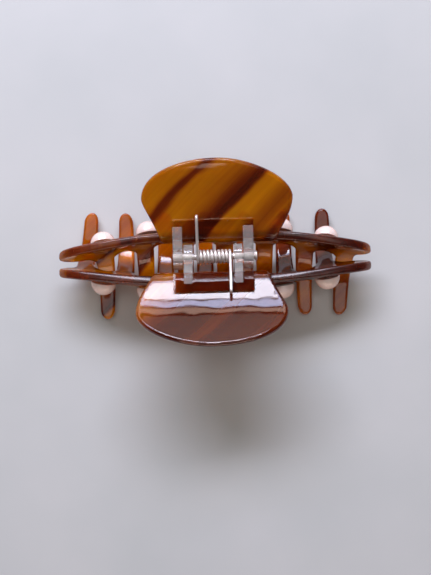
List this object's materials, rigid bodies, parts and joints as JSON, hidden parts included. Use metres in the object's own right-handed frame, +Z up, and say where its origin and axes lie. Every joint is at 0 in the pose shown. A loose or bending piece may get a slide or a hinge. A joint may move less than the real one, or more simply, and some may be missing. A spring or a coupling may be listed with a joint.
{
  "type": "hair claw clip",
  "caption": "Hair claw clip: two bent tortoiseshell jaws with thumb paddles, curved interleaved teeth and pearls, on a clear hinge with a pin and a torsion spring.",
  "frame": {"origin": "on the surface the closed clip stands on, under the middle of its box", "axes": "+X along the bar, +Y to the back jaw's side, +Z up from the teeth to the paddles"},
  "size_m": [0.1116, 0.0632, 0.0418],
  "materials": {
    "tortoiseshell_acetate": "polished translucent amber acetate with dark brown diagonal bands",
    "pearl": "pearl lustre, cream with a pink cast",
    "clear_plastic": "clear moulded plastic, glossy",
    "hinge_steel": "bright drawn steel",
    "spring_steel": "bright spring wire"
  },
  "bodies": {
    "back_jaw": {"jaw_back": "tortoiseshell_acetate", "pearl_back_1": "pearl", "pearl_back_2": "pearl", "pearl_back_3": "pearl", "pearl_back_4": "pearl", "hinge_leaf_back": "clear_plastic", "hinge_pin": "hinge_steel", "torsion_spring": "spring_steel"},
    "front_jaw": {"jaw_front": "tortoiseshell_acetate", "pearl_front_1": "pearl", "pearl_front_2": "pearl", "pearl_front_3": "pearl", "pearl_front_4": "pearl", "hinge_leaf_front": "clear_plastic"}
  },
  "joints": [
    {"name": "jaw_hinge", "type": "hinge", "parent": "back_jaw", "child": "front_jaw", "pos_m": [0, 0, 0.02566], "axis": [-1, 0, 0], "range_deg": [0, 104], "stiffness_Nm_per_rad": 0.12, "springref_deg": -51.57, "deforming": ["torsion_spring"]}
  ]
}
